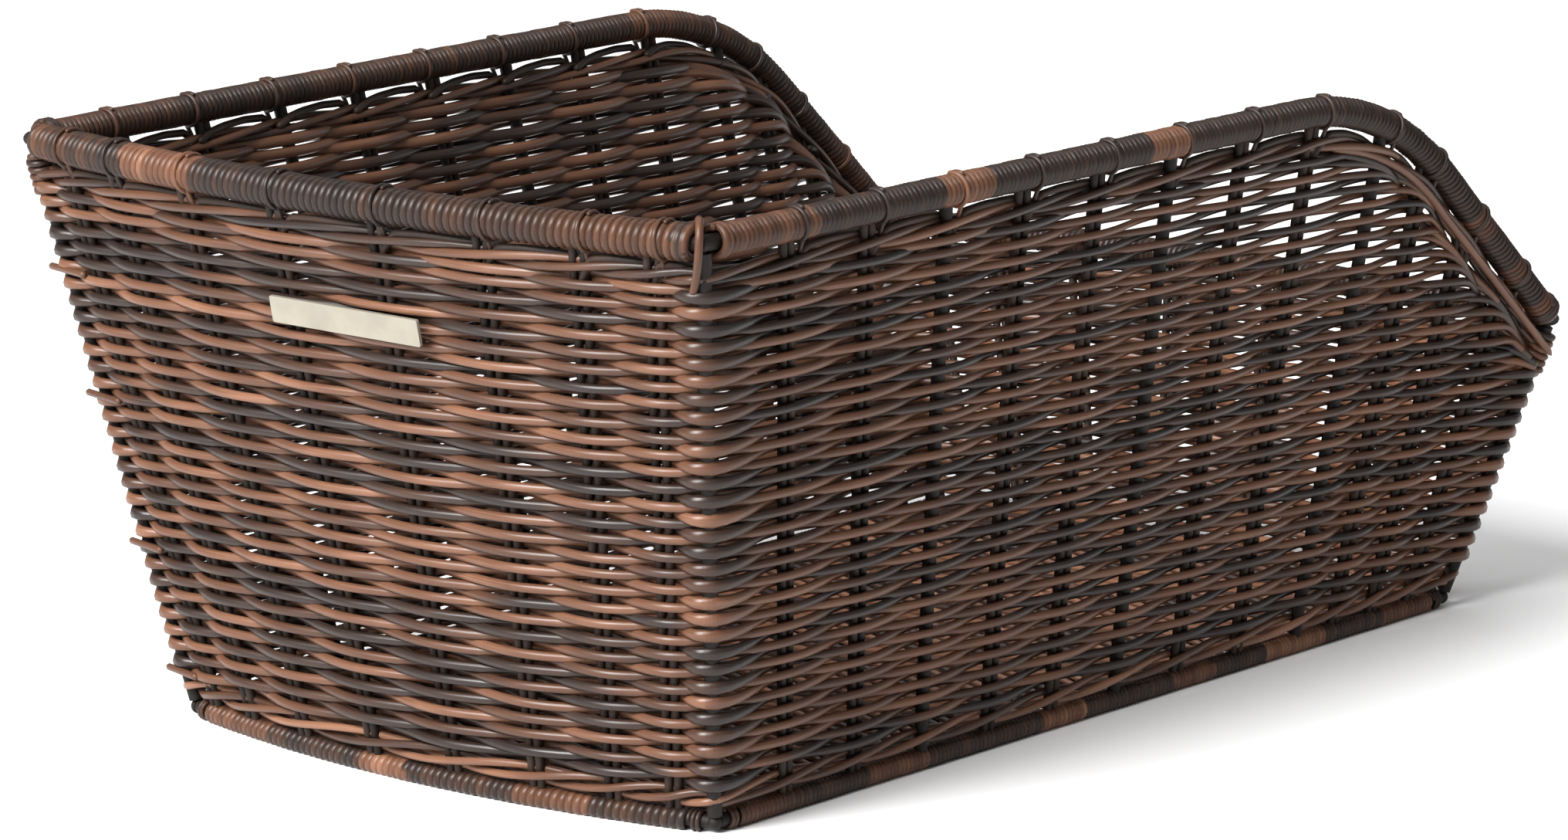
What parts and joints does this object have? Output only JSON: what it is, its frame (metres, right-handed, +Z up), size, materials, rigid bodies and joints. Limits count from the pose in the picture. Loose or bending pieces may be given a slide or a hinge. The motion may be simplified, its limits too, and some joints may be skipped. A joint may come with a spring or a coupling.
{
  "type": "bicycle carrier basket",
  "caption": "Open woven basket with a high rear wall, sides that slope down to a low front, a wrapped rim and a wrapped base ring.",
  "frame": {"origin": "middle of the basket's footprint box, on the surface that it stands on", "axes": "+X towards the low front, +Y to the left as seen from the rear looking forward, +Z up"},
  "size_m": [0.5346, 0.3494, 0.2283],
  "materials": {
    "weave": "semi-gloss synthetic rattan strand, red-brown to near black",
    "border": "semi-gloss synthetic rattan strand, mid brown",
    "stake": "semi-gloss synthetic rattan rod, dark brown",
    "wrap": "semi-gloss wound strand in bands of brown and near black",
    "tie": "semi-gloss strand",
    "steel": "dark coated steel wire",
    "badge": "satin cream plate, plain",
    "pin": "satin"
  },
  "bodies": {
    "root": {"rim_frame": "steel", "base_frame": "steel", "cross_bars": "steel", "post_rear_right": "steel", "post_front_right": "steel", "post_front_left": "steel", "post_rear_left": "steel", "side_rods_right": "steel", "side_rods_left": "steel", "stakes_right": "stake", "stakes_front": "stake", "stakes_left": "stake", "stakes_rear": "stake", "floor_stakes": "stake", "weave_right": "weave", "weave_front": "weave", "weave_left": "weave", "weave_rear": "weave", "weave_floor": "weave", "lower_border_right": "border", "lower_border_front": "border", "lower_border_left": "border", "lower_border_rear": "border", "upper_border_right": "border", "upper_border_front": "border", "upper_border_left": "border", "upper_border_rear": "border", "rim_wrap_right": "wrap", "rim_wrap_front": "wrap", "rim_wrap_left": "wrap", "rim_wrap_rear": "wrap", "base_wrap_right": "wrap", "base_wrap_front": "wrap", "base_wrap_left": "wrap", "base_wrap_rear": "wrap", "lashings_right": "tie", "lashings_front": "tie", "lashings_left": "tie", "lashings_rear": "tie", "corner_tie_rear_right": "tie", "corner_tie_front_right": "tie", "corner_tie_front_left": "tie", "corner_tie_rear_left": "tie", "base_corner_ties": "tie", "badge_plate": "badge", "badge_pins": "pin"}
  },
  "joints": []
}
